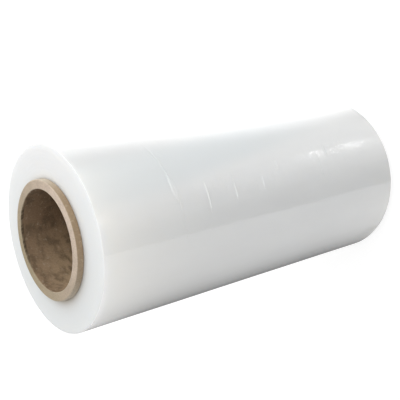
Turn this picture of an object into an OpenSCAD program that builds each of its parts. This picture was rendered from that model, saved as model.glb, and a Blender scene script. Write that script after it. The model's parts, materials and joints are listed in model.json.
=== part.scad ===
// Stretch wrap roll: clear stretch film wound tight on a paperboard core.
// The roll stands on the lower rim of its core. The axis lies on Z, and z = 0 is that rim.

/* [Core] */
// Bore of the core, which a dispenser's mandrel or end cups enter
core_bore = 76.2; // [60:0.1:90]
// Wall of the core, from the bore to the film
core_wall = 7; // [4:0.1:12]
// Length of core that stands out of the film at each end
core_proud = 5; // [3:0.1:20]
// Bevel on the rims, where the saw rounded the board
rim_bevel = 0.5; // [0.2:0.05:1]
// Thickness of one ply of board
ply = 0.8; // [0.6:0.05:1.5]
// Depth of the glued joint between two plies, seen on the cut ends
ply_joint_depth = 0.2; // [0.05:0.05:0.4]
// Width of that joint at the cut end
ply_joint_width = 0.16; // [0.1:0.02:0.3]

/* [Film] */
// Width of the film, which is the length of the wound body
film_width = 305; // [200:1:500]
// Depth of film wound on the core
film_build = 25.6; // [14:0.1:60]
// Rounding of the two outer edges, where the last turns ease in
shoulder = 2.5; // [1:0.1:8]
// Radial pitch of the bundles of turns that show on the end faces
turn_pitch = 1.1; // [0.8:0.1:3]
// How far one bundle of turns may lie behind its neighbours
turn_step = 0.1; // [0.04:0.02:0.6]
// Distance between the gauge bands along the roll
gauge_pitch = 24; // [12:1:60]
// How far the thin gauge bands sink below the thick ones
gauge_dip = 0.2; // [0.05:0.05:0.5]

/* [Creases] */
// Distance from the upper edge of the film to the first crease
crease_first = 68; // [20:1:100]
// Distance from one crease to the next
crease_pitch = 27; // [15:0.5:60]
// Length of roll over which the creases are spread
crease_run = 125; // [30:1:200]
// Height of the first crease above the film
crease_height = 0.45; // [0.2:0.05:0.8]
// Share of its height that each crease keeps from the one before
crease_fade = 0.6; // [0.5:0.05:1]
// Half of the arc that the first crease runs round the roll, in degrees
crease_arc = 34; // [20:1:60]
// Middle of that arc, in degrees round the roll from +X
crease_side = -52; // [-180:1:180]
// How far round the roll the middle creases bow away from the first, in degrees
crease_bow = -12; // [-30:1:30]

/* [Hidden] */
$fn = 96;

core_in = core_bore / 2;
core_out = core_in + core_wall;
core_length = film_width + 2 * core_proud;
film_out = core_out + film_build;
film_low = core_proud;
film_top = core_proud + film_width;

plies = floor((core_wall - 2 * rim_bevel - ply_joint_width) / ply);
turn_depth = film_build - shoulder;
turns = floor(turn_depth / turn_pitch);
shoulder_steps = 8;
gauge_run = film_width - 2 * shoulder;
gauges = floor(gauge_run / gauge_pitch);
creases = 1 + floor(min(crease_run, film_width - crease_first - 2 * shoulder) / crease_pitch);
crease_shift = crease_height / (1 - cos(crease_arc));
crease_root = 1.2;
crease_flank = 1.5;
crease_overrun = 5;

// A value from 0 to 1 that jumps about as i grows, and is the same at every build
function scatter(i) = 0.5 + 0.5 * sin(137.5 * i + 60 * sin(53 * i));

// One cut end of the core as [radius, distance behind the end], with a V at each glued joint
function core_end() = [
    [core_in, rim_bevel],
    [core_in + rim_bevel, 0],
    for (i = [1 : plies])
        let (r = core_in + rim_bevel + i * ply, half = ply_joint_width / 2)
            each [[r - half, 0], [r, ply_joint_depth], [r + half, 0]],
    [core_out - rim_bevel, 0],
    [core_out, rim_bevel]
];

// One end face of the film as [radius, distance behind the end]: each bundle of turns is a flat ring at
// its own depth, and a quarter arc carries the last one over the shoulder
function film_end() = [
    for (i = [0 : turns - 1])
        let (r = core_out + i * turn_depth / turns, d = turn_step * scatter(i))
            each [[r, d], [r + turn_depth / turns, d]],
    for (i = [0 : shoulder_steps])
        let (a = 90 * i / shoulder_steps)
            [film_out - shoulder * (1 - sin(a)), shoulder * (1 - cos(a))]
];

// The wound surface as [radius, z], from the upper shoulder down to the lower one
function film_side() = [
    for (i = [1 : gauges - 1])
        [film_out - gauge_dip * scatter(-i), film_top - shoulder - i * gauge_run / gauges]
];

// The same end profile at the upper end and, in reverse, at the lower end
function upper(end, z) = [for (p = end) [p[0], z - p[1]]];
function lower(end, z) = [for (i = [len(end) - 1 : -1 : 0]) [end[i][0], z + end[i][1]]];

// Paperboard tube: plies wound into a plain cylinder and sawn square at both ends
module core_tube() {
    color([0.62, 0.53, 0.42])
        rotate_extrude()
            polygon(concat(upper(core_end(), core_length), lower(core_end(), 0)));
}

// The wound film, all its turns as one body
module wound_body() {
    rotate_extrude()
        polygon(concat(upper(film_end(), film_top), film_side(), lower(film_end(), film_low)));
}

// A crease in the outer turns: part of a thin ring with a sharp rim, whose centre is moved towards the
// crease, so that it rises out of the film in the middle and sinks back into it at both ends. A lower
// crease is the same ring sunk deeper, and so it is shorter too
module crease(z, side, height) {
    rim = film_out + height - crease_shift;
    half_arc = acos(1 - height / crease_shift) * film_out / rim + crease_overrun;
    rotate([0, 0, side])
        translate([crease_shift, 0, z])
            rotate([0, 0, -half_arc])
                rotate_extrude(angle = 2 * half_arc)
                    polygon([
                        [rim - crease_root, -crease_root * crease_flank],
                        [rim, 0],
                        [rim - crease_root, crease_root * crease_flank]
                    ]);
}

// Stretch film on the core, with the creases that its tension left in the outer turns
module film_roll() {
    color([0.86, 0.87, 0.87])
        union() {
            wound_body();
            for (i = [0 : creases - 1])
                crease(
                    film_top - crease_first - i * crease_pitch,
                    crease_side + crease_bow * sin(180 * i * crease_pitch / crease_run),
                    crease_height * pow(crease_fade, i)
                );
        }
}

core_tube();
film_roll();
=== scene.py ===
# %% [markdown]
# # A roll of stretch wrap
#
# The object is a hand roll of clear stretch film: more than a thousand turns of
# thin polyethylene wound tight on a spiral-wound paperboard core. It has two
# pieces, the core and the film. Each is a closed surface worked out with numpy as
# a grid of rows along its section and columns round the axis, so one function of
# height and angle gives every wave, crease and seam.
#
# The roll stands on the lower rim of its core, with its axis on Z. All lengths
# are metres, and all sides round the axis are degrees from +X towards +Y.

# %% Load the frame
import bpy
import json
import numpy as np
from mathutils import Matrix, Vector


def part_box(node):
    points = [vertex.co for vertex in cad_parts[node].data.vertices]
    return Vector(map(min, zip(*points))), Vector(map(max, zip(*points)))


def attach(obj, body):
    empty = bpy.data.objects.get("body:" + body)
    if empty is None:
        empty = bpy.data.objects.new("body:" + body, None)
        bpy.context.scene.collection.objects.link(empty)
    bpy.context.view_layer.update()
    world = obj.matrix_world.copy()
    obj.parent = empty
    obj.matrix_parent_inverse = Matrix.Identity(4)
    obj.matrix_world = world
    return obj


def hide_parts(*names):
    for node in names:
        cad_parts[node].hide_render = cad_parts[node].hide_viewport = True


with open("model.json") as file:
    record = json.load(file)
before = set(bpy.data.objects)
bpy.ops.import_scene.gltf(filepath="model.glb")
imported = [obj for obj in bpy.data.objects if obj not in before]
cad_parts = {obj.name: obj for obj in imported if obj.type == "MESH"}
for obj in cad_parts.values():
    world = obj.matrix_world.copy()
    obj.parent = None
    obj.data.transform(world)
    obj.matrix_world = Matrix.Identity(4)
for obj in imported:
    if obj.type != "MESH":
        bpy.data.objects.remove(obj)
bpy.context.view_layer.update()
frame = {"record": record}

# %% [markdown]
# ## Sizes
#
# The frame already holds the real sizes, so the surfaces take theirs from it:
# the box of each piece gives its outer radius and its two ends, and the bore of
# the core is a stated fit. Only the fine forms have sizes of their own here.

# %% Sizes of the roll
MM = 0.001
film_low, film_top = (corner.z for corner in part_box("film_roll"))
film_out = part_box("film_roll")[1].x
core_low, core_top = (corner.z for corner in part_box("core_tube"))
core_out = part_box("core_tube")[1].x
core_fit = next(m for m in frame["record"]["mounts"] if m["name"] == "core_bore")
core_in = core_fit["dims"]["r_mm"] * MM
film_width = film_top - film_low
print("radii: film %.1f mm, core %.1f mm, bore %.1f mm" % (film_out / MM, core_out / MM, core_in / MM))

# %% [markdown]
# ## Camera
#
# The picture shows the roll lying on its side with its near end to the left. Here
# it stands, so the camera is turned on its side instead: the top of the picture
# is +X, and the near end of the roll is the upper one. A camera could be aimed by
# eye, but a rim seen at a slant is an ellipse, and that shows a wrong angle at
# once. So its place was found by fitting a cylinder to the rims in the picture,
# and it is written in radii of the roll from the middle of the film's upper end.

# %% Camera
SENSOR = 36.0
LENS = 67.4
CLIP = (0.01, 50.0)
CAMERA_RADII = Vector((2.449, -6.654, 3.429))
PICTURE_RIGHT = Vector((-0.0091, -0.6323, -0.7747))
PICTURE_UP = Vector((0.9633, 0.2023, -0.1765))


def new_object(name, data):
    """An object with that data, placed in the scene."""
    thing = bpy.data.objects.new(name, data)
    bpy.context.scene.collection.objects.link(thing)
    return thing


def make_camera():
    """A camera whose own axes are the picture's right, its up, and their cross product behind it."""
    data = bpy.data.cameras.new("camera")
    data.sensor_width = SENSOR
    data.lens = LENS
    data.clip_start, data.clip_end = CLIP
    camera = new_object("camera", data)
    right = PICTURE_RIGHT.normalized()
    up = (PICTURE_UP - right * PICTURE_UP.dot(right)).normalized()
    turn = Matrix((right, up, right.cross(up))).transposed()
    place = Vector((0.0, 0.0, film_top)) + CAMERA_RADII * film_out
    camera.matrix_world = Matrix.Translation(place) @ turn.to_4x4()
    bpy.context.scene.camera = camera
    return camera


camera = make_camera()
print("camera at", [round(v, 3) for v in camera.matrix_world.translation])

# %% [markdown]
# ## From arrays to a mesh
#
# Both pieces are rings with a section that closes on itself. Such a ring could be
# spun from a curve, but then no wave or tear could run across it. So one helper
# sweeps a section round as a grid of points, which a formula may then move, and
# another turns the grid into a mesh whose rows and columns both run back to the
# first. A closed grid has no seam and no pole, and so it has no open edge.

# %% Mesh helpers
def sweep_round(radius, height, columns):
    """A section of M points as two grids of M rows by one column per direction: its radius and its height."""
    return np.repeat(radius[:, None], len(columns), 1), np.repeat(height[:, None], len(columns), 1)


def closed_grid(name, radius, angle, height):
    """A smooth mesh from three grids. Point (i, j) lies at (r cos a, r sin a, h) and joins (i + 1, j) and
    (i, j + 1), counted round both ways. Rows that run down an outer wall make faces that point outwards."""
    rows, columns = radius.shape
    points = np.stack([radius * np.cos(angle), radius * np.sin(angle), height], -1)
    mesh = bpy.data.meshes.new(name)
    mesh.vertices.add(rows * columns)
    mesh.vertices.foreach_set("co", points.astype(np.float32).ravel())
    index = np.arange(rows * columns).reshape(rows, columns)
    below = np.roll(index, -1, 0)
    corners = np.stack([index, below, np.roll(below, -1, 1), np.roll(index, -1, 1)], -1).reshape(-1, 4)
    mesh.loops.add(corners.size)
    mesh.loops.foreach_set("vertex_index", corners.ravel().astype(np.int32))
    mesh.polygons.add(len(corners))
    mesh.polygons.foreach_set("loop_start", np.arange(0, corners.size, 4, dtype=np.int32))
    mesh.polygons.foreach_set("use_smooth", np.ones(len(corners), bool))
    mesh.update(calc_edges=True)
    print(name, "has", rows, "rows,", columns, "columns and", 2 * len(corners), "triangles")
    return new_object(name, mesh)


def paint(piece, name, values):
    """Stores one value per point of the grid under a name that a material can read."""
    layer = piece.data.attributes.new(name, "FLOAT", "POINT")
    layer.data.foreach_set("value", np.ascontiguousarray(values, np.float32).ravel())


# %% Formulas round the roll
def from_side(angle, side):
    """How many degrees an angle in radians lies from a side in degrees, from -180 to 180."""
    return (np.degrees(angle) - side + 180) % 360 - 180


def scatter(i):
    """Half of one plus sin(137.5 i + 60 sin 53 i), in degrees: a value from 0 to 1 that jumps about."""
    return 0.5 + 0.5 * np.sin(np.radians(137.5 * i + 60 * np.sin(np.radians(53 * i))))


def waves(angle, height, count, seed, turns, lengths):
    """A smooth random field: the mean of count waves, each cos(k a + 2 pi z / L + p), where k is a whole
    number of waves round the roll, L a length along it and p a phase."""
    rng = np.random.default_rng(seed)
    total = np.zeros(angle.shape)
    for _ in range(count):
        k = rng.integers(turns[0], turns[1] + 1)
        length = rng.uniform(*lengths) * rng.choice([-1, 1])
        total += np.cos(k * angle + 2 * np.pi * height / length + rng.uniform(0, 2 * np.pi))
    return total / count


print("side -170 lies %.0f degrees from side 170" % from_side(np.radians(-170), 170))

# %% [markdown]
# ## The film
#
# The film was wound under tension, so the roll is a true cylinder whose edges are
# hardly rounded. On the end faces the edges of the turns show: small bundles of
# them lie a little higher or lower than their neighbours. The wall has faint
# gauge bands, where the film is a hair thicker or thinner. The turns could be
# made one by one, but that takes millions of faces, and nobody sees between them.
# So the film is one closed surface, and only what shows of its turns is in it.

# %% Film section
SHOULDER = 0.5 * MM
SHOULDER_POINTS = 10
TURN_PITCH = 1.1 * MM
TURN_STEP = 0.025 * MM
RING_EDGES = np.array([0.15, 0.85])
GAUGE_PITCH = 24 * MM
GAUGE_DIP = 0.04 * MM

turn_depth = film_out - core_out - SHOULDER
turns = int(turn_depth / TURN_PITCH)
gauge_run = film_width - 2 * SHOULDER
gauges = int(gauge_run / GAUGE_PITCH)


def film_end():
    """Radius and depth of one end face from the core outwards: every bundle of turns is a flat ring with
    soft edges at its own depth, and a quarter circle carries the last ring over the shoulder."""
    start = core_out + turn_depth * np.arange(turns) / turns
    radius = (start[:, None] + RING_EDGES * turn_depth / turns).ravel()
    depth = np.repeat(TURN_STEP * scatter(np.arange(turns)), len(RING_EDGES))
    sweep = np.linspace(0, np.pi / 2, SHOULDER_POINTS)
    return (
        np.concatenate([[core_out], radius, film_out - SHOULDER * (1 - np.sin(sweep))]),
        np.concatenate([[depth[0]], depth, SHOULDER * (1 - np.cos(sweep))]),
    )


def gauge(height):
    """How far the wall lies inside the full radius: straight runs between one random dip per gauge band."""
    spots = film_top - SHOULDER - gauge_run * np.arange(gauges + 1) / gauges
    dips = GAUGE_DIP * scatter(-np.arange(gauges + 1.0))
    dips[[0, -1]] = 0
    return np.interp(-height, -spots, dips)


print(turns, "bundles of turns show on each end face, and", gauges, "gauge bands along the wall")

# %% [markdown]
# ## Creases
#
# Where the film was pinched as it ran on, a crease crosses the outer turns. One is
# long and opens into a flat lens in its middle, and the others are short. A crease
# could be a strip of its own laid on the wall, but the ends of the strip would
# show. Here each crease is a surface of its own that rises out of the wall only
# over its arc. The wall takes the larger of the two radii, so the ends of the
# crease melt into it.

# %% Long crease
CREASE_DROP = 67.5 * MM
CREASE_HEIGHT = 0.45 * MM
CREASE_ARC = 36
CREASE_SIDE = -55
CREASE_LEAN = 0.11 * MM
CREASE_FLANK = 1.5
CREASE_LOW_FLANK = 1.6
LENS_SIDE = -58
LENS_ARC = 9.5
LENS_WIDTH = 1.9 * MM


def long_crease(angle, height):
    """Radius of the long crease. A ring of radius q whose centre is moved by e towards the crease reaches out
    to e cos a + sqrt(q^2 - e^2 sin^2 a). That is the rim, which leans along the roll by so much per degree.
    Both flanks fall from it, the lower one more steeply, and they start a little apart where the rim opens
    into the lens, which is a parabola across its arc."""
    shift = CREASE_HEIGHT / (1 - np.cos(np.radians(CREASE_ARC)))
    ring = film_out + CREASE_HEIGHT - shift
    a = angle - np.radians(CREASE_SIDE)
    rim = shift * np.cos(a) + np.sqrt(ring ** 2 - (shift * np.sin(a)) ** 2)
    lens = LENS_WIDTH * np.maximum(0, 1 - (from_side(angle, LENS_SIDE) / LENS_ARC) ** 2)
    lean = CREASE_LEAN * np.clip(from_side(angle, CREASE_SIDE), -CREASE_ARC, CREASE_ARC)
    past = height - film_top + CREASE_DROP - lean
    return rim - np.maximum(0, np.maximum(past, -CREASE_LOW_FLANK * past) - lens) / CREASE_FLANK


print("the long crease runs from side", CREASE_SIDE - CREASE_ARC, "to side", CREASE_SIDE + CREASE_ARC)

# %% Short creases
SHORT_LOW_FLANK = 4
SHORT_CREASES = (
    {"drop": 70.6 * MM, "side": -78, "arc": 9, "rise": 0.16 * MM, "half": 0.35 * MM},
    {"drop": 95.5 * MM, "side": -66, "arc": 12, "rise": 0.36 * MM, "half": 0.55 * MM},
    {"drop": 122.5 * MM, "side": -64, "arc": 8, "rise": 0.30 * MM, "half": 0.45 * MM},
    {"drop": 151.5 * MM, "side": -65, "arc": 7, "rise": 0.33 * MM, "half": 0.46 * MM},
    {"drop": 171 * MM, "side": -56, "arc": 5, "rise": 0.36 * MM, "half": 0.56 * MM},
    {"drop": 219 * MM, "side": -64, "arc": 6, "rise": 0.20 * MM, "half": 0.32 * MM},
    {"drop": 231 * MM, "side": -52, "arc": 4, "rise": 0.20 * MM, "half": 0.30 * MM},
)


def short_crease(angle, height, drop, side, arc, rise, half):
    """Radius of a short crease: its rim is a parabola over the arc. It falls off over half on the side of the
    upper end, and four times more steeply on the other."""
    a = from_side(angle, side) / arc
    past = height - film_top + drop
    return film_out + rise * (1 - a ** 2 - np.maximum(past, -SHORT_LOW_FLANK * past) / half)


print(len(SHORT_CREASES), "short creases; the first carries on the lower end of the long one")

# %% [markdown]
# ## The film's wall
#
# A hand roll isn't perfect: its wall has long soft waves, its last turn ends in a
# fine step along the roll, its edges are a little wavy, and they were knocked in
# here and there. A sculpted or displaced mesh would need fine faces everywhere.
# Here the grid's rows lie close only over the creases, and its columns only at
# the step, so a small mesh still has sharp lines where they count.

# %% Rows and columns of the film
WALL_ROWS = 60
ROW_GAP = 1.2 * MM
LONG_CREASE_ROWS = np.linspace(-6.0, 6.0, 31) * MM
SHORT_CREASE_ROWS = np.array([-0.6, -0.25, -0.1, 0, 0.1, 0.5, 1.1])
FILM_COLUMNS = 296
TAIL_SIDE = -85.0
TAIL_COLUMNS = np.array([-0.0022, -0.0006, 0.0006, 0.0022])
TAIL_GAP = 0.004


def wall_rows():
    """Heights down the wall: even steps, with close ones over each crease in their place."""
    even = np.linspace(film_top - SHOULDER, film_low + SHOULDER, WALL_ROWS)[1:-1]
    near = [film_top - CREASE_DROP + LONG_CREASE_ROWS]
    near += [film_top - one["drop"] + SHORT_CREASE_ROWS * one["half"] for one in SHORT_CREASES]
    close = np.concatenate(near)
    clear = np.min(np.abs(even[:, None] - close[None, :]), 1) > ROW_GAP
    return np.sort(np.concatenate([even[clear], close]))[::-1]


def film_columns():
    """Directions of the columns, in radians: even steps, with close ones at the film's tail, which is a
    sharp step."""
    tail = np.radians(TAIL_SIDE) % (2 * np.pi)
    even = np.linspace(0, 2 * np.pi, FILM_COLUMNS, endpoint=False)
    even = even[np.abs(even - tail) > TAIL_GAP]
    return np.sort(np.concatenate([even, tail + TAIL_COLUMNS]))


print(len(wall_rows()), "rows down the wall and", len(film_columns()), "columns round it")

# %% Film surface
BORE_POINTS = 8
HALF_WALL = 0.5
TAIL_STEP = 0.12 * MM
RIPPLE = {"count": 14, "seed": 4, "turns": (2, 9), "lengths": (0.06, 0.30)}
RIPPLE_HEIGHT = 0.10 * MM
EDGE_WAVES = {"count": 9, "seed": 8, "turns": (1, 4), "lengths": (10, 20)}
EDGE_HEIGHT = 0.25 * MM
EDGE_REACH = 8 * MM
EDGE_START = 6 * MM
DINGS = (
    {"side": -63, "drop": 2.5 * MM, "across": 5 * MM, "depth": 0.5 * MM},
    {"side": -20, "drop": 3.0 * MM, "across": 16 * MM, "depth": 0.5 * MM},
    {"side": 150, "drop": 4.0 * MM, "across": 9 * MM, "depth": 0.6 * MM},
    {"side": -128, "drop": 298 * MM, "across": 10 * MM, "depth": 0.5 * MM},
)


def film_section():
    """Radius and height round the closed section of the film: bore up, upper end out, wall down, lower end
    in."""
    radius, depth = film_end()
    wall = wall_rows()
    bore = np.linspace(film_low, film_top, BORE_POINTS)[1:-1]
    return (
        np.concatenate([np.full(len(bore), core_out), radius, np.full(len(wall), film_out), radius[::-1]]),
        np.concatenate([bore, film_top - depth, wall, film_low + depth[::-1]]),
    )


def ding_depth(angle, height, side, drop, across, depth):
    """How deep a knock has pushed the wall in: depth exp(-d^2 / across^2), with d the distance from it."""
    far = np.hypot(np.radians(from_side(angle, side)) * film_out, height - film_top + drop) / across
    return depth * np.exp(-far ** 2)


def film_surface():
    """Grids of the film's radius, angle and height, and of how much each point belongs to the wall, from 0
    to 1. The wall's radius has waves, gauge bands and dings, shrinks along a spiral that jumps back by one
    step at the tail, and is nowhere lower than the creases. Both edges wave up and down, more so the further
    they lie from the core."""
    columns = film_columns()
    r, z = sweep_round(*film_section(), columns)
    angle = np.repeat(columns[None, :], len(r), 0)
    on_wall = np.clip((r - film_out + SHOULDER) / SHOULDER, 0, 1)
    turned = ((angle - np.radians(TAIL_SIDE)) % (2 * np.pi)) / (2 * np.pi)
    ripple = RIPPLE_HEIGHT * waves(angle, z, **RIPPLE)
    r = r + on_wall ** 2 * (ripple - gauge(z) - TAIL_STEP * turned)
    for ding in DINGS:
        r = r - on_wall * ding_depth(angle, z, **ding)
    raised = long_crease(angle, z)
    for one in SHORT_CREASES:
        raised = np.maximum(raised, short_crease(angle, z, **one))
    r = np.where(on_wall > HALF_WALL, np.maximum(r, raised), r)
    upper = np.clip((z - film_top + EDGE_REACH) / EDGE_REACH, 0, 1)
    lower = np.clip((film_low + EDGE_REACH - z) / EDGE_REACH, 0, 1)
    free = np.clip((r - core_out) / EDGE_START, 0, 1)
    z = z + EDGE_HEIGHT * (upper - lower) * free * waves(angle, z, **EDGE_WAVES)
    return r, angle, z, on_wall


radius, angle, height, on_wall = film_surface()
print("the film's radius is %.2f to %.2f mm" % (radius.min() / MM, radius.max() / MM))

# %% [markdown]
# ## Where the film's look changes
#
# Light enters a clear roll through its wall and through its cut ends, so the film
# is paler near the ends, and that light is painted on. The board shines through
# brown next to the core, with painted shade that is stronger on the shaded side,
# and the end face is painted darker towards its under side. A cool streak of
# painted reflection runs along the shaded side, and patches of fine wrinkles
# break up the highlight. A texture picture could hold all this, but it would need
# a UV map and would blur. Each share is a plain formula of the point's place, so
# it is painted on as one value from 0 to 1 per point, which the material reads by
# its name.

# %% Light in the film
BRIGHT_SIDE = 20
BRIGHT_FADE = ((0, 0.25, 0.5, 0.62, 0.72), (1, 0.5, 0.45, 0.25, 0))
UNDER = {"side": 10, "from": 0.1, "over": 0.7}
UPPER_END_LIGHT = {"reach": 34 * MM, "further": 16 * MM}
LOWER_END_LIGHT = {"reach": 22 * MM, "share": 0.15, "stronger": 0.45}
BOARD_AND_SHADE = {"reach": 3.0 * MM, "share": 0.40, "stronger": 0.60, "side": -170, "across": 45}
COOL_REFLECTION = {"side": -47, "turn": 26, "half": 17, "narrow": 9, "end": 0.85, "fade": 0.35}


def painted_end_light(angle, height):
    """Painted light: how pale the wall is by its ends, where light enters through the cut turns:
    exp(-d / reach), with d the distance from the end. On the under side it reaches further from the upper end
    and is stronger by the lower one. By the upper end it fades out towards the bright side, as the cosine of
    the angle from there grows."""
    under = -np.cos(angle - np.radians(UNDER["side"])) - UNDER["from"]
    under = np.clip(under, 0, UNDER["over"]) / UNDER["over"]
    off_bright = np.interp(np.cos(angle - np.radians(BRIGHT_SIDE)), *BRIGHT_FADE)
    upper = np.exp(-(film_top - height).clip(0) / (UPPER_END_LIGHT["reach"] + UPPER_END_LIGHT["further"] * under))
    lower = np.exp(-(height - film_low).clip(0) / LOWER_END_LIGHT["reach"])
    lower = lower * (LOWER_END_LIGHT["share"] + LOWER_END_LIGHT["stronger"] * under)
    return np.clip(upper * off_bright + lower, 0, 1)


def board_and_painted_shade(radius, angle):
    """How brown the end face is next to the core, where the board shows through: exp(-d / reach), with d
    the distance from the core. It is more so on the shaded side by exp(-a^2), and that part is painted shade."""
    shaded = np.exp(-(from_side(angle, BOARD_AND_SHADE["side"]) / BOARD_AND_SHADE["across"]) ** 2)
    by_core = np.exp(-(radius - core_out).clip(0) / BOARD_AND_SHADE["reach"])
    return by_core * (BOARD_AND_SHADE["share"] + BOARD_AND_SHADE["stronger"] * shaded)


def painted_cool_reflection(angle, height):
    """A painted reflection: a cool streak exp(-a^4) that tints the wall. Along the roll it turns towards the
    bright side, narrows and fades out.
    """
    along = (film_top - height) / film_width
    a = from_side(angle, COOL_REFLECTION["side"] + COOL_REFLECTION["turn"] * along) / (COOL_REFLECTION["half"] - COOL_REFLECTION["narrow"] * along)
    return np.exp(-a ** 4) * np.clip((COOL_REFLECTION["end"] - along) / COOL_REFLECTION["fade"], 0, 1)


print("mean share of the pale ends: %.2f" % painted_end_light(angle, height).mean())

# %% Wrinkles
WRINKLES = (
    {"side": -51, "drop": 240 * MM, "arc": 8, "length": 24 * MM, "strength": 0.95},
    {"side": -60, "drop": 224 * MM, "arc": 9, "length": 14 * MM, "strength": 0.5},
    {"side": -62, "drop": 160 * MM, "arc": 8, "length": 22 * MM, "strength": 0.5},
    {"side": -62, "drop": 108 * MM, "arc": 10, "length": 30 * MM, "strength": 0.4},
    {"side": -46, "drop": 66 * MM, "arc": 16, "length": 6 * MM, "strength": 0.6},
    {"side": 120, "drop": 190 * MM, "arc": 14, "length": 50 * MM, "strength": 0.7},
    {"side": 30, "drop": 90 * MM, "arc": 10, "length": 40 * MM, "strength": 0.5},
)


def wrinkled(angle, height):
    """How wrinkled the outer turn is: a soft patch exp(-a^2 - b^2) for each place where it was rubbed."""
    total = np.zeros(angle.shape)
    for patch in WRINKLES:
        a = from_side(angle, patch["side"]) / patch["arc"]
        b = (height - film_top + patch["drop"]) / patch["length"]
        total = np.maximum(total, patch["strength"] * np.exp(-a ** 2 - b ** 2))
    return total


print(len(WRINKLES), "wrinkled patches")

# %% Build the film
OFF_BORE = 0.01 * MM

film = closed_grid("stretch_film", radius, angle, height)
paint(film, "end_face", np.sqrt(1 - on_wall ** 2) * (radius > core_out + OFF_BORE))
# Painted light: the wall is paler by its ends, where light enters through the cut turns.
paint(film, "painted_end_light", painted_end_light(angle, height))
# The board showing through the film, plus painted shade that is stronger on the shaded side.
paint(film, "board_and_painted_shade", board_and_painted_shade(radius, angle))
# Painted shade: the end face turns darker towards the under side, by 0.5 - 0.5 cos a.
paint(film, "painted_end_shade", 0.5 - 0.5 * np.cos(angle))
paint(film, "wrinkled", wrinkled(angle, height))
# Painted reflection: a cool tint in a streak along the wall.
paint(film, "cool_reflection_paint", painted_cool_reflection(angle, height))
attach(film, "root")
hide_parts("film_roll")

# %% [markdown]
# ## The core
#
# The core is paperboard wound in a spiral: strips of board run round it like a
# barber's pole, each butted against its own edge. In the bore the joint of the
# innermost strip shows as a fine groove. A groove cut across an even grid would
# have ragged edges. If the columns of the grid follow the same helix, the groove
# is one straight run of columns, and a few close columns cut it clean.
#
# The saw bevelled the rims, left a small V at each glued joint between two plies,
# and tore the inner edge on one side.

# %% Core ends
RIM_BEVEL = 0.5 * MM
PLY = 0.8 * MM
PLY_JOINT_DEPTH = 0.2 * MM
PLY_JOINT_WIDTH = 0.16 * MM
TORN = {"from": 55, "to": 138, "fade": 12, "depth": 1.2 * MM, "back": 0.35 * MM}
TEETH = {"mean": 0.35, "spread": 0.5, "neighbour": 0.8, "least": 0.55, "fuzz": 0.10}

plies = int((core_out - core_in - 2 * RIM_BEVEL - PLY_JOINT_WIDTH) / PLY)


def core_end():
    """Radius and depth of one cut end from the bore outwards: a bevel, a small V at each joint between two
    plies, and a bevel."""
    joints = core_in + RIM_BEVEL + PLY * np.arange(1, plies + 1)
    half = PLY_JOINT_WIDTH / 2
    radius = np.stack([joints - PLY / 2, joints - half, joints, joints + half], 1).ravel()
    depth = np.tile([0, 0, PLY_JOINT_DEPTH, 0], plies)
    return (
        np.concatenate([[core_in, core_in + RIM_BEVEL], radius, [core_out - RIM_BEVEL, core_out]]),
        np.concatenate([[RIM_BEVEL, 0], depth, [0, RIM_BEVEL]]),
    )


def tears(angle, seed):
    """How far the saw tore the inner edge at each column, as a share of the full depth: a least share plus
    random teeth, each leaning on its neighbour, kept within the torn arc, over a faint fuzz all round."""
    rng = np.random.default_rng(seed)
    teeth = np.clip(rng.normal(TEETH["mean"], TEETH["spread"], angle.shape), 0, 1)
    teeth = np.maximum(teeth, TEETH["neighbour"] * np.roll(teeth, 1))
    teeth = TEETH["least"] + (1 - TEETH["least"]) * teeth
    side = np.degrees(angle) % 360
    into = np.clip((side - TORN["from"]) / TORN["fade"], 0, 1)
    out_of = np.clip((TORN["to"] - side) / TORN["fade"], 0, 1)
    return np.clip(into * out_of * teeth + TEETH["fuzz"] * rng.random(angle.shape), 0, 1)


print(plies, "joints between plies on each cut end")

# %% Rows and columns of the core
BORE_ROWS = 130
TORN_ROW = 1.2 * TORN["depth"]
SKIN_ROWS = 64
SHOWN_ROWS = np.arange(1, 11) * 0.55 * MM
COVERED = 6.2 * MM
CORE_COLUMNS = 320
SEAM_WIDTH = 0.5 * MM
SEAM_COLUMNS = np.linspace(-1.5, 1.5, 13)
SEAM_GAP = 2


def core_section():
    """Radius and height round the closed section of the core: bore up, upper end out, skin down, lower end
    in. The columns turn as they climb, so a face between two rows far apart would cut straight through the
    curve of the tube. Rows lie close in the bore and where the skin shows, and one more backs the torn
    edge."""
    radius, depth = core_end()
    bore = np.linspace(core_low + RIM_BEVEL, core_top - RIM_BEVEL, BORE_ROWS)[1:-1]
    bore = np.append(bore, core_top - RIM_BEVEL - TORN_ROW)
    skin = np.linspace(core_top - COVERED, core_low + COVERED, SKIN_ROWS)
    skin = np.concatenate([core_top - RIM_BEVEL - SHOWN_ROWS, skin, core_low + RIM_BEVEL + SHOWN_ROWS[::-1]])
    return (
        np.concatenate([np.full(len(bore), core_in), radius, np.full(len(skin), core_out), radius[::-1]]),
        np.concatenate([bore, core_top - depth, skin, core_low + depth[::-1]]),
    )


def core_columns():
    """Directions of the columns at height 0, in radians: even steps, with close ones over the seam, which
    lies at half a turn."""
    even = np.linspace(0, 2 * np.pi, CORE_COLUMNS, endpoint=False)
    even = even[np.abs(even - np.pi) > SEAM_GAP * SEAM_WIDTH / core_in]
    return np.sort(np.concatenate([even, np.pi + SEAM_COLUMNS * SEAM_WIDTH / core_in]))


print(len(core_section()[0]), "rows round the section and", len(core_columns()), "columns round the core")

# %% Core surface
STRIP_LEAD = 0.138
SEAM_DEPTH = 0.3 * MM
TORN_SEED = 5
LOWER_FUZZ = 0.3 * MM
LOWER_SEED = 7


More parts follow.
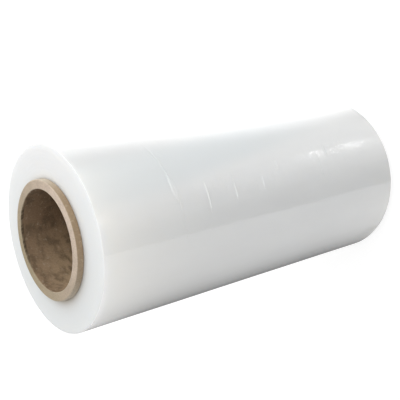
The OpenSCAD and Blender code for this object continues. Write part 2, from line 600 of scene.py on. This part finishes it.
def core_surface():
    """Grids of the core's radius, angle and height, and of how torn each point is. A column turns once in
    every strip's lead. The seam is a groove exp(-(2 d / width)^2) in the bore, and the upper inner edge is
    torn down and back."""
    columns = core_columns()
    r, z = sweep_round(*core_section(), columns)
    angle = columns + 2 * np.pi * z / STRIP_LEAD
    off_seam = np.abs(columns - np.pi) * core_in / SEAM_WIDTH
    in_bore = np.clip((core_in + RIM_BEVEL - r) / RIM_BEVEL, 0, 1)
    r = r + in_bore * SEAM_DEPTH * np.exp(-(2 * off_seam) ** 2)
    rim = int(np.argmax(z[:, 0]))
    tear_and_shadow = np.zeros(r.shape)
    tear_and_shadow[rim - 1:rim + 1] = tears(angle[rim - 1], TORN_SEED)
    z[rim - 1] -= TORN["depth"] * tear_and_shadow[rim]
    r[rim] += TORN["back"] * tear_and_shadow[rim]
    r[-1] += LOWER_FUZZ * tears(angle[-1], LOWER_SEED)
    return r, angle, z, tear_and_shadow


radius, angle, height, tear_and_shadow = core_surface()
print("the core's radius is %.2f to %.2f mm" % (radius.min() / MM, radius.max() / MM))

# %% Build the core
CUT_DEPTH = 0.3 * MM
BORE_MARGIN = 0.4 * MM
# Painted light on the skin: two paler lobes.
SKIN_LIGHT = ({"side": 12, "across": 28, "share": 0.68}, {"side": -160, "across": 40, "share": 0.80})
# Painted light and shade in the bore.
BORE_LIGHT = {"depth": 60 * MM, "share": 0.12, "swing": 1.3}
# The side towards which the cut face is painted lit.
CUT_LIT_SIDE = -50


def skin_light_paint(angle):
    """Painted light: how much paler the skin is, a lobe share exp(-a^2) round each of two sides, the one near
    side 12 where the key light falls on it.
    """
    return sum(one["share"] * np.exp(-(from_side(angle, one["side"]) / one["across"]) ** 2) for one in SKIN_LIGHT)


def bore_light_paint(angle, height):
    """Painted light and shade in the bore: how far its colour turns from the shaded copy to the lit one. It
    rises with the depth, and by minus the cosine towards the -X side, where the light falls in.
    """
    deep = np.clip((core_top - height) / BORE_LIGHT["depth"], 0, 1)
    return np.clip(deep * (BORE_LIGHT["share"] - BORE_LIGHT["swing"] * np.cos(angle)), 0, 1)


core = closed_grid("paperboard_core", radius, angle, height)
off_end = np.minimum(core_top - height, height - core_low)
paint(core, "cut_face", (off_end < CUT_DEPTH) * 1.0)
paint(core, "in_bore", (radius < core_in + BORE_MARGIN) * 1.0)
# The tear amount, which also lays a painted shadow along the torn edge.
paint(core, "tear_and_shadow", tear_and_shadow)
# Painted light: the skin paler round two sides, one of them where the key light falls.
paint(core, "skin_light_paint", skin_light_paint(angle))
# Painted light and shade: the bore darker near the rim, paler deep down and towards -X.
paint(core, "bore_light_paint", bore_light_paint(angle, height))
# Painted light and shade: the cut face lighter towards side -50, where the light falls, darker opposite.
paint(core, "cut_light_paint", 0.5 + 0.5 * np.cos(angle - np.radians(CUT_LIT_SIDE)))
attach(core, "root")
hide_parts("core_tube")

# %% [markdown]
# ## Helpers for materials
#
# A material is a small tree of nodes. It could be drawn by hand in the editor, but
# a few helpers make it as short as a formula: each adds one node and returns its
# output, which the next may take as an input.

# %% Node helpers
def add(tree, kind, inputs=None, **settings):
    """One node of that kind. settings are its properties. inputs are its sockets by name or number, each
    given as a constant or as the output of another node."""
    node = tree.nodes.new(kind)
    for key, value in settings.items():
        setattr(node, key, value)
    for key, value in (inputs or {}).items():
        if isinstance(value, bpy.types.NodeSocket):
            tree.links.new(value, node.inputs[key])
        else:
            node.inputs[key].default_value = value
    return node


def value_of(tree, name):
    """The output of a node that reads one painted value."""
    return add(tree, "ShaderNodeAttribute", attribute_name=name).outputs["Fac"]


def math(tree, operation, first, second):
    """One operation on two values, each a socket or a number."""
    return add(tree, "ShaderNodeMath", {0: first, 1: second}, operation=operation).outputs[0]


def mix(tree, share, first, second):
    """A blend of two colours, each a socket or a triple, by a share from 0 to 1."""
    first, second = ((*one, 1) if isinstance(one, tuple) else one for one in (first, second))
    return add(tree, "ShaderNodeMix", {0: share, 6: first, 7: second}, data_type="RGBA").outputs[2]


def bump(tree, height, distance, before=None):
    """A bump from a height of 0 to 1 over that distance, on top of an earlier one."""
    inputs = {"Strength": 1.0, "Distance": distance, "Height": height}
    if before is not None:
        inputs["Normal"] = before
    return add(tree, "ShaderNodeBump", inputs).outputs[0]


def new_material(name, kind, inputs=None):
    """A material with one shader of that kind linked to its output. Returns it, its tree and the shader."""
    material = bpy.data.materials.new(name)
    material.use_nodes = True
    tree = material.node_tree
    tree.nodes.clear()
    shader = add(tree, kind, inputs)
    add(tree, "ShaderNodeOutputMaterial", {"Surface": shader.outputs[0]})
    return material, tree, shader


print("helpers: add, value_of, math, mix, bump and new_material")

# %% [markdown]
# ## Mottle
#
# Haze in the film and blotches, flecks and fibres in the board are one effect at
# different sizes: a soft random pattern. Each material could have noise nodes of
# its own, but a group keeps the effect in one place, and each use sets its size.

# %% Shared mottle
NOISE_ROUGH = 0.6


def make_mottle():
    """A group that both materials use: soft blotches of a given size from 0 to 1. Stretch scales the object's
    own coordinates first, so that blotches can run along or round the roll."""
    group = bpy.data.node_groups.new("Mottle", "ShaderNodeTree")
    group.interface.new_socket("Stretch", in_out="INPUT", socket_type="NodeSocketVector")
    for name in ("Low", "High", "Detail"):
        group.interface.new_socket(name, in_out="INPUT", socket_type="NodeSocketFloat")
    group.interface.new_socket("Mottle", in_out="OUTPUT", socket_type="NodeSocketFloat")
    enter = add(group, "NodeGroupInput").outputs
    place = add(group, "ShaderNodeTexCoord").outputs["Object"]
    stretched = add(group, "ShaderNodeVectorMath", {0: place, 1: enter["Stretch"]}, operation="MULTIPLY")
    noise = add(group, "ShaderNodeTexNoise", {
        "Vector": stretched.outputs[0], "Scale": 1.0, "Detail": enter["Detail"], "Roughness": NOISE_ROUGH})
    spread = add(group, "ShaderNodeMapRange", {
        "Value": noise.outputs["Fac"], "From Min": enter["Low"], "From Max": enter["High"]},
        interpolation_type="SMOOTHSTEP")
    add(group, "NodeGroupOutput", {"Mottle": spread.outputs[0]})
    return group


mottle_group = make_mottle()
print("the mottle group has", len(mottle_group.nodes), "nodes")


def mottle(tree, stretch, low, high, detail=4.0):
    """One use of the group: blotches per metre along each axis, the span of the noise that is spread from 0
    to 1, and how fine its detail is."""
    inputs = {"Stretch": stretch, "Low": low, "High": high, "Detail": detail}
    return add(tree, "ShaderNodeGroup", inputs, node_tree=mottle_group).outputs["Mottle"]


# %% [markdown]
# ## Film material
#
# Clear film wound a thousand turns deep looks milky, because each turn scatters a
# little light, while its outer skin is as smooth as glass. Glass and volume
# shaders could show that, but they are slow and full of grain. Here subsurface
# scattering gives the milky depth, and a clear coat on top gives the skin. The cut
# end faces have no such skin, so the coat ends there and the roughness rises.

# %% Film material
# Of these shades, the cool one is a painted reflection tint, the near one painted light by the ends, the low
# end one painted shade, and the tan the board showing through with painted shade on the shaded side.
FILM_BODY = (0.718, 0.724, 0.725)
FILM_HAZE = (0.775, 0.785, 0.78)
FILM_COOL_REFLECTION = (0.672, 0.70, 0.708)
FILM_END_LIGHT = (0.975, 0.96, 0.915)
FILM_END = (0.912, 0.936, 0.936)
FILM_END_SHADED = (0.838, 0.860, 0.858)
FILM_TAN = (0.57, 0.47, 0.33)
HAZE = {"stretch": (26, 26, 6), "low": 0.0, "high": 1.0, "detail": 2.0}
HAZE_SHARE = 0.35
FINE = {"stretch": (75, 75, 22), "low": 0.25, "high": 0.75, "detail": 2.0}
FINE_SHARE = 0.30
TAN_SHARE = 0.90
SCATTER_RADIUS = (1.0, 0.97, 0.92)
SCATTER_SCALE = 6 * MM
FILM_IOR = 1.5
WALL_ROUGH = 0.165
HAZE_ROUGH = 0.10
END_ROUGH = 0.6
COAT_ROUGH = 0.07
COAT_FALL = 4.0
THREADS = {"stretch": (9, 9, 900), "low": 0.30, "high": 0.70}
THREAD_DEPTH = 0.006 * MM
FOLDS = {"stretch": (110, 110, 190), "low": 0.35, "high": 0.70}
FOLD_DEPTH = 0.22 * MM


def film_colour(tree, haze):
    """Milky white, hazed in large and fine blotches, then the painted shares in turn: the cool streak of
    painted reflection, the pale ends of painted light, the end face with painted shade on its under side, and
    the board's brown next to the core, stronger on the shaded side as painted shade."""
    milky = math(tree, "MULTIPLY", haze, HAZE_SHARE)
    milky = math(tree, "ADD", milky, math(tree, "MULTIPLY", mottle(tree, **FINE), FINE_SHARE))
    colour = mix(tree, milky, FILM_BODY, FILM_HAZE)
    colour = mix(tree, value_of(tree, "cool_reflection_paint"), colour, FILM_COOL_REFLECTION)
    colour = mix(tree, value_of(tree, "painted_end_light"), colour, FILM_END_LIGHT)
    end = mix(tree, value_of(tree, "painted_end_shade"), FILM_END, FILM_END_SHADED)
    colour = mix(tree, value_of(tree, "end_face"), colour, end)
    return mix(tree, math(tree, "MULTIPLY", value_of(tree, "board_and_painted_shade"), TAN_SHARE), colour, FILM_TAN)


def film_material():
    """Milky film under a clear coat. The coat is (1 - end face)^4, and the roughness is a constant plus
    shares of the haze and of the end face. Fine threads run round the roll, and folds fill the wrinkled
    patches."""
    material, tree, shader = new_material("stretch_film", "ShaderNodeBsdfPrincipled", {
        "Subsurface Weight": 1.0, "Subsurface Radius": SCATTER_RADIUS, "Subsurface Scale": SCATTER_SCALE,
        "IOR": FILM_IOR, "Coat Roughness": COAT_ROUGH})
    haze = mottle(tree, **HAZE)
    rough = math(tree, "MULTIPLY", value_of(tree, "end_face"), END_ROUGH)
    rough = math(tree, "ADD", rough, math(tree, "MULTIPLY", haze, HAZE_ROUGH))
    coat = math(tree, "POWER", math(tree, "SUBTRACT", 1.0, value_of(tree, "end_face")), COAT_FALL)
    normal = bump(tree, mottle(tree, **THREADS), THREAD_DEPTH)
    folds = math(tree, "MULTIPLY", mottle(tree, **FOLDS), value_of(tree, "wrinkled"))
    normal = bump(tree, folds, FOLD_DEPTH, normal)
    outputs = {
        "Base Color": film_colour(tree, haze), "Roughness": math(tree, "ADD", rough, WALL_ROUGH),
        "Coat Weight": coat, "Normal": normal, "Coat Normal": normal}
    for socket, output in outputs.items():
        tree.links.new(output, shader.inputs[socket])
    print("material", material.name, "has", len(tree.nodes), "nodes")
    return material


film.data.materials.append(film_material())

# %% [markdown]
# ## Board material
#
# The board is waste paper: a matt grey-brown with dark blotches, pale flecks and
# fibres. The saw left the cut ends rough and pale. Light and shade are painted on
# too: the cut ends lighter on the side where the light falls, the skin paler round
# two sides, one where the key light falls, the bore darker near the rim and paler
# deep down and towards -X, and a painted shadow along the torn edge. A picture of
# real board could be wrapped round the tube, but it would show a seam and hold the
# light it was taken in. Mottle at three sizes gives blotches, flecks and fibres
# that never repeat and have no seam.

# %% Board material
# Skin, cut and bore each have a darker and a lighter copy that painted light blends between; the torn colour
# is a painted shadow.
BOARD_SKIN = (0.345, 0.250, 0.156)
BOARD_SKIN_LIT = (0.78, 0.71, 0.60)
BOARD_CUT_SHADED = (0.45, 0.365, 0.235)
BOARD_CUT_LIT = (0.80, 0.655, 0.53)
BOARD_BORE_SHADED = (0.270, 0.178, 0.104)
BOARD_BORE_LIT = (0.92, 0.68, 0.43)
BOARD_DARK = (0.115, 0.078, 0.042)
BOARD_TORN_SHADOW = (0.07, 0.045, 0.022)
BOARD_FLECK = (0.60, 0.49, 0.36)
BLOTCH = {"stretch": (95, 95, 140), "low": 0.43, "high": 0.67}
BLOTCH_SHARE = 0.10
BLOTCH_BORE_SHARE = 0.52
FLECK = {"stretch": (300, 300, 340), "low": 0.56, "high": 0.72}
FLECK_SHARE = 0.5
FLECK_DEPTH = 0.15 * MM
FIBRE = {"stretch": (1100, 1100, 500), "low": 0.35, "high": 0.65}
FIBRE_SHARE = 0.18
FIBRE_DEPTH = 0.12 * MM
BOARD_ROUGH = 0.9
BOARD_SHINE = 0.25


def core_material():
    """Skin, bore and cut face each blend a darker and a lighter copy by a painted share of light and shade.
    Blotches, flecks and fibres then lie over all three, the blotches mostly in the bore, and the painted
    shadow of the torn edge lies over them."""
    material, tree, shader = new_material("paperboard", "ShaderNodeBsdfPrincipled", {
        "Roughness": BOARD_ROUGH, "Specular IOR Level": BOARD_SHINE})
    in_bore = value_of(tree, "in_bore")
    skin = mix(tree, value_of(tree, "skin_light_paint"), BOARD_SKIN, BOARD_SKIN_LIT)
    bore = mix(tree, value_of(tree, "bore_light_paint"), BOARD_BORE_SHADED, BOARD_BORE_LIT)
    cut = mix(tree, value_of(tree, "cut_light_paint"), BOARD_CUT_SHADED, BOARD_CUT_LIT)
    colour = mix(tree, value_of(tree, "cut_face"), mix(tree, in_bore, skin, bore), cut)
    share = math(tree, "ADD", math(tree, "MULTIPLY", in_bore, BLOTCH_BORE_SHARE), BLOTCH_SHARE)
    colour = mix(tree, math(tree, "MULTIPLY", mottle(tree, **BLOTCH), share), colour, BOARD_DARK)
    fleck = mottle(tree, **FLECK)
    colour = mix(tree, math(tree, "MULTIPLY", fleck, FLECK_SHARE), colour, BOARD_FLECK)
    fibre = mottle(tree, **FIBRE)
    colour = mix(tree, math(tree, "MULTIPLY", fibre, FIBRE_SHARE), colour, BOARD_DARK)
    # Painted shadow along the torn edge.
    colour = mix(tree, value_of(tree, "tear_and_shadow"), colour, BOARD_TORN_SHADOW)
    normal = bump(tree, fleck, FLECK_DEPTH, bump(tree, fibre, FIBRE_DEPTH))
    tree.links.new(colour, shader.inputs["Base Color"])
    tree.links.new(normal, shader.inputs["Normal"])
    print("material", material.name, "has", len(tree.nodes), "nodes")
    return material


core.data.materials.append(core_material())

# %% [markdown]
# ## Stage
#
# A white floor and a white world behind it make the plain background. A floor lit
# until it is white would lose the roll's shadow, so the camera sees a floor that
# mostly glows by itself, and the rest of its light is real and keeps the shadow.
# The lamps are large soft panels. Each has a brightness, which is how bright the
# panel itself looks, and its power follows from that and its area.

# %% World
AMBIENT = 0.88
AMBIENT_LOW = 0.42
AMBIENT_SPAN = (-0.8, 0.3)
WHITE = (1, 1, 1, 1)


def make_world():
    """Plain light from all round, weaker from the -X side. The camera, a mirror and a clear surface see
    white."""
    world = bpy.data.worlds.new("studio")
    bpy.context.scene.world = world
    world.use_nodes = True
    tree = world.node_tree
    tree.nodes.clear()
    ray = add(tree, "ShaderNodeLightPath").outputs
    seen = math(tree, "MAXIMUM", ray["Is Camera Ray"], ray["Is Glossy Ray"])
    seen = math(tree, "MAXIMUM", seen, ray["Is Transmission Ray"])
    direction = add(tree, "ShaderNodeTexCoord").outputs["Generated"]
    across = add(tree, "ShaderNodeSeparateXYZ", {0: direction}).outputs["X"]
    fill = add(tree, "ShaderNodeMapRange", {
        "Value": across, "From Min": AMBIENT_SPAN[0], "From Max": AMBIENT_SPAN[1],
        "To Min": AMBIENT * AMBIENT_LOW, "To Max": AMBIENT})
    strength = add(tree, "ShaderNodeMapRange", {"Value": seen, "To Min": fill.outputs[0], "To Max": 1.0})
    background = add(tree, "ShaderNodeBackground", {"Color": WHITE, "Strength": strength.outputs[0]})
    add(tree, "ShaderNodeOutputWorld", {"Surface": background.outputs[0]})
    print("world:", AMBIENT, "from +X and above,", round(AMBIENT * AMBIENT_LOW, 2), "from -X")


make_world()

# %% Floor
FLOOR_REACH = 6.0
FLOOR_CORNERS = ((-1, -1), (1, -1), (1, 1), (-1, 1))
SHADE_REACH = (0.4, 1.2)
FLOOR_GLOW = (0.80, 1.0)
FLOOR_SHADE = (0.32, 0.32, 0.32, 1)
FLOOR_MATT = (0.8, 0.8, 0.8, 1)


def floor_material():
    """The camera sees a plain glow plus a lit grey, which keeps the roll's soft shadow. Far out the glow
    alone is white. All other rays meet a matt pale floor."""
    material, tree, seen = new_material("floor", "ShaderNodeMixShader")
    place = add(tree, "ShaderNodeTexCoord").outputs["Object"]
    distance = add(tree, "ShaderNodeVectorMath", {0: place}, operation="LENGTH").outputs["Value"]
    level = add(tree, "ShaderNodeMapRange", {
        "Value": distance, "From Min": SHADE_REACH[0], "From Max": SHADE_REACH[1],
        "To Min": FLOOR_GLOW[0], "To Max": FLOOR_GLOW[1]})
    glow = add(tree, "ShaderNodeEmission", {"Color": WHITE, "Strength": level.outputs[0]})
    shade = add(tree, "ShaderNodeBsdfDiffuse", {"Color": FLOOR_SHADE})
    both = add(tree, "ShaderNodeAddShader", {0: glow.outputs[0], 1: shade.outputs[0]})
    matt = add(tree, "ShaderNodeBsdfDiffuse", {"Color": FLOOR_MATT})
    ray = add(tree, "ShaderNodeLightPath").outputs["Is Camera Ray"]
    for i, output in enumerate((ray, matt.outputs[0], both.outputs[0])):
        tree.links.new(output, seen.inputs[i])
    return material


def make_floor():
    """A wide pale floor at z = 0, which the gloss doesn't see and which casts no shadow."""
    mesh = bpy.data.meshes.new("floor")
    mesh.from_pydata([(x * FLOOR_REACH, y * FLOOR_REACH, 0) for x, y in FLOOR_CORNERS], [], [(0, 1, 2, 3)])
    mesh.materials.append(floor_material())
    floor = new_object("floor", mesh)
    floor.visible_glossy = False
    floor.visible_shadow = False
    print("floor:", 2 * FLOOR_REACH, "m across")


make_floor()

# %% Lamps
LAMPS = {
    "key_top": {"at": (0.35, -0.10, 1.25), "size": (0.9, 0.9), "level": 0.22},
    "side_front": {"at": (0.85, -0.60, 0.70), "size": (0.9, 0.9), "level": 0.52},
    "side_back": {"at": (0.75, 0.60, 0.70), "size": (0.9, 0.9), "level": 0.82},
    "over_side": {"at": (1.00, 0.00, 0.50), "size": (1.0, 1.0), "level": 0.58},
    "front_panel": {"at": (0.25, -1.20, 0.60), "size": (0.8, 0.8), "level": 0.28},
}
LAMP_TARGET = Vector((0.0, 0.0, 0.17))


def make_lamp(name, at, size, level):
    """A soft panel that faces the middle of the roll. A panel of area A that looks L bright has power
    pi L A."""
    data = bpy.data.lights.new(name, "AREA")
    data.shape = "RECTANGLE"
    data.size, data.size_y = size
    data.energy = np.pi * level * size[0] * size[1]
    lamp = new_object(name, data)
    aim = LAMP_TARGET - Vector(at)
    lamp.matrix_world = Matrix.Translation(at) @ aim.to_track_quat("-Z", "Z").to_matrix().to_4x4()
    lamp.visible_camera = False
    lamp.visible_glossy = False


for name, lamp in LAMPS.items():
    make_lamp(name, **lamp)
print("lamps:", ", ".join(LAMPS))

# %% [markdown]
# ## What the gloss sees
#
# The film is nearly a mirror at its skin, so its bands of light and dark are
# pictures of the room: a bright backdrop, the dark room behind the camera, the
# edge of a white table, and the shade under it. The room could be built of cards
# and walls, but each would also light the roll and throw shadows. Instead an
# upright cylinder round the roll stands for it, and only the gloss sees it. Its
# brightness changes with the side, and in a few places with the height too. A
# small lamp in it makes the broken highlight near the far end, and a bright panel
# high up lights the flanks of the creases.

# %% Room levels
ROOM_LEVELS = (
    (-285, 1.2), (-262, 1.2), (-250, 0.20), (-215, 0.18), (-195, 0.30), (-175, 0.62), (-154, 0.95),
    (-133, 1.06), (-112, 0.86), (-103, 0.80), (-100, 0.02), (-83, 0.02), (-70, 0.13), (-57, 0.56),
    (-41, 0.84), (-24, 0.82), (-7, 0.78), (9, 0.75), (26, 1.28), (42, 2.00), (58, 2.00), (75, 1.7),
)
ROOM_PATCHES = (
    {"side": 30, "across": 20,
     "heights": (-1.42, -1.30, -1.20, -0.95, -0.85, -0.64, -0.50, -0.33, -0.10, 0.10),
     "levels": (-0.7, -0.25, 0.15, 0.5, 0.5, 0.0, -0.5, -0.7, -0.3, 0.0)},
    {"side": -180, "across": 50,
     "heights": (-1.42, -1.30, -1.10, -0.55, -0.43, -0.33, -0.20, -0.05, 0.15),
     "levels": (0.2, 0.12, 0.0, 0.0, 0.05, 0.42, 0.95, 0.3, 0.0)},
)
ROOM_TOP = (0.18, 0.38)
PANEL = {"side": -45, "across": 55, "level": 2.1}
SPOT = {"side": -34, "height": -1.22, "across": 3.6, "along": 0.028, "level": 18.0, "halo": 0.9, "wide": 3}


def flat_lobe(side, across, middle):
    """A share exp(-a^4) that is nearly flat round a middle side and falls off past its reach across."""
    return np.exp(-((side - middle) / across) ** 4)


def room_level(side, height):
    """Brightness of the room. Low down it is straight runs between the listed levels, plus a lamp
    exp(-a^2 - b^2) with a fainter halo three times as wide, plus patches whose level changes with the height.
    Above the top it turns into a white wall with a bright panel on it."""
    far = ((side - SPOT["side"]) / SPOT["across"]) ** 2 + ((height - SPOT["height"]) / SPOT["along"]) ** 2
    low = np.interp(side, *zip(*ROOM_LEVELS))
    low = low + SPOT["level"] * np.exp(-far) + SPOT["halo"] * np.exp(-far / SPOT["wide"] ** 2)
    for patch in ROOM_PATCHES:
        share = flat_lobe(side, patch["across"], patch["side"])
        low = low + share * np.interp(height, patch["heights"], patch["levels"])
    high = 1.0 + PANEL["level"] * flat_lobe(side, PANEL["across"], PANEL["side"])
    rise = np.clip((height - ROOM_TOP[0]) / (ROOM_TOP[1] - ROOM_TOP[0]), 0, 1)
    return low + (high - low) * rise


print("room:", len(ROOM_LEVELS), "levels round it,", len(ROOM_PATCHES), "patches, one lamp and one panel")

# %% Build the room
ROOM_RADIUS = 1.2
ROOM_ROWS = (1.7, -2.7, 89)
SPOT_ROWS = np.linspace(-0.1, 0.1, 21)
ROOM_SIDES = ((-285, -105, 5.0), (-105, -5, 1.0), (-5, 80, 5.0))
UNSEEN_BY = ("camera", "diffuse", "transmission", "volume_scatter", "shadow")


def make_room():
    """The upright cylinder as a grid with close columns where the levels jump and close rows at the lamp. Its
    brightness is painted on as one value per point, and only the gloss sees it."""
    side = np.concatenate([np.arange(*span) for span in ROOM_SIDES])
    height = np.unique(np.concatenate([np.linspace(*ROOM_ROWS), SPOT["height"] + SPOT_ROWS]))[::-1]
    side, height = np.meshgrid(side, height)
    x, y = ROOM_RADIUS * np.cos(np.radians(side)), ROOM_RADIUS * np.sin(np.radians(side))
    index = np.arange(side.size).reshape(side.shape)
    faces = np.stack([index[:-1, :-1], index[:-1, 1:], index[1:, 1:], index[1:, :-1]], -1).reshape(-1, 4)
    mesh = bpy.data.meshes.new("room")
    mesh.from_pydata(np.stack([x, y, height], -1).reshape(-1, 3).tolist(), [], faces.tolist())
    room = new_object("room", mesh)
    paint(room, "level", room_level(side, height))
    material, tree, glow = new_material("room", "ShaderNodeEmission", {"Color": WHITE})
    tree.links.new(value_of(tree, "level"), glow.inputs["Strength"])
    mesh.materials.append(material)
    for ray in UNSEEN_BY:
        setattr(room, "visible_" + ray, False)
    print("room:", side.shape[0], "rows and", side.shape[1], "columns")


make_room()

# %% [markdown]
# ## Finish
#
# Standard is the view transform that shows the levels above as they are.

# %% Finish
bpy.context.scene.view_settings.view_transform = "Standard"
